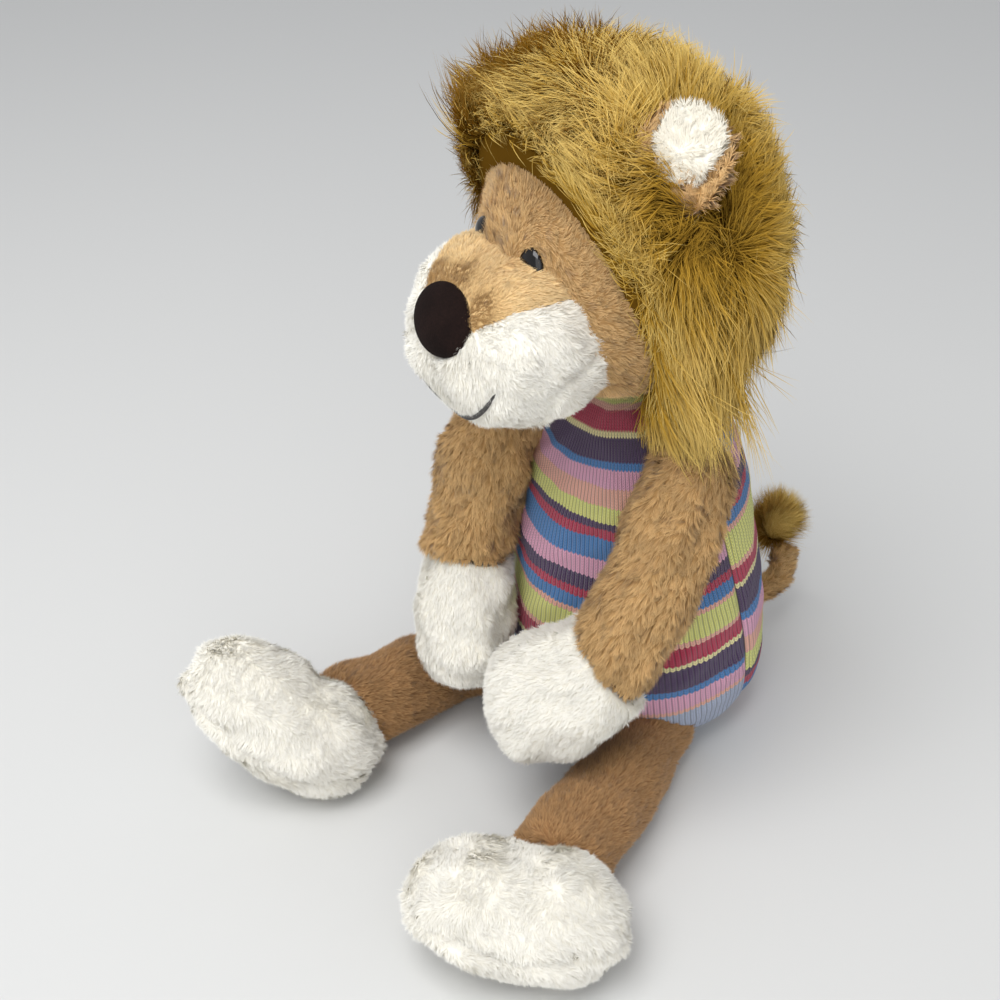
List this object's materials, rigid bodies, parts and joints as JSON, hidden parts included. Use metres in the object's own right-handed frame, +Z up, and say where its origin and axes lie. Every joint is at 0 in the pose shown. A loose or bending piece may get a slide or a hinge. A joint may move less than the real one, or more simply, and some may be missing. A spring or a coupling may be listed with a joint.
{
  "type": "plush lion",
  "caption": "Seated stuffed lion with a long-haired mane, a striped knitted body, long white paws and feet, and a tufted tail.",
  "frame": {"origin": "on the flat seat, 4.5 mm ahead of its middle, in the body's mid plane", "axes": "+Z up, the toy faces -Y, and its own left side is +X"},
  "size_m": [0.1984, 0.2545, 0.2908],
  "materials": {
    "tan_plush": "short-pile plush, tan",
    "brown_plush": "short-pile plush, brown tan",
    "light_plush": "smooth short plush, light tan",
    "white_plush": "fluffy pile, off-white",
    "mane_fur": "long-haired fur, golden brown with pale tips",
    "striped_knit": "stocking-stitch knit, striped in bright colours",
    "fibre_filling": "loose polyester fibre, white",
    "pouch_cloth": "woven nylon bag filled with pellets",
    "nose_velvet": "dark brown velvet",
    "black_thread": "satin-stitched thread",
    "eye_plastic": "polished black",
    "washer_plastic": "plain moulded plastic"
  },
  "bodies": {
    "torso": {"torso_front": "striped_knit", "torso_back": "striped_knit", "seat_panel": "striped_knit", "pellet_pouch": "pouch_cloth", "torso_filling": "fibre_filling"},
    "head": {"head": "tan_plush", "head_filling": "fibre_filling", "eye_left": "eye_plastic", "eye_right": "eye_plastic", "eye_washer_left": "washer_plastic", "eye_washer_right": "washer_plastic", "muzzle_top": "light_plush", "muzzle_white": "white_plush", "nose": "nose_velvet", "mouth_stitch": "black_thread", "ear_left": "tan_plush", "ear_right": "tan_plush", "ear_lining_left": "white_plush", "ear_lining_right": "white_plush", "mane": "mane_fur"},
    "arm_left": {"arm_left": "tan_plush", "paw_left": "white_plush"},
    "arm_right": {"arm_right": "tan_plush", "paw_right": "white_plush"},
    "leg_left": {"leg_left": "brown_plush", "foot_left": "white_plush", "foot_sole_left": "white_plush"},
    "leg_right": {"leg_right": "brown_plush", "foot_right": "white_plush", "foot_sole_right": "white_plush"},
    "tail": {"tail_cord": "tan_plush", "tail_tuft": "mane_fur"}
  },
  "joints": [
    {"name": "head_turn", "type": "hinge", "parent": "torso", "child": "head", "pos_m": [0, -0.012, 0.176], "axis": [0, 0, 1], "range_deg": [-30, 30]},
    {"name": "arm_lift_left", "type": "hinge", "parent": "torso", "child": "arm_left", "pos_m": [0.03502, -0.02798, 0.14502], "axis": [-0.5, -0.866, 0], "range_deg": [0, 60]},
    {"name": "arm_lift_right", "type": "hinge", "parent": "torso", "child": "arm_right", "pos_m": [-0.03502, -0.02798, 0.14502], "axis": [-0.5, 0.866, 0], "range_deg": [0, 60]},
    {"name": "leg_drop_left", "type": "hinge", "parent": "torso", "child": "leg_left", "pos_m": [0.02798, -0.0147, 0], "axis": [0.9682, 0.2501, 0], "range_deg": [0, 75]},
    {"name": "leg_drop_right", "type": "hinge", "parent": "torso", "child": "leg_right", "pos_m": [-0.02798, -0.0147, 0], "axis": [0.9207, -0.3903, 0], "range_deg": [0, 75]},
    {"name": "tail_swing", "type": "hinge", "parent": "torso", "child": "tail", "pos_m": [0.002, 0.0525, 0.018], "axis": [0, 0, 1], "range_deg": [-25, 25]}
  ]
}
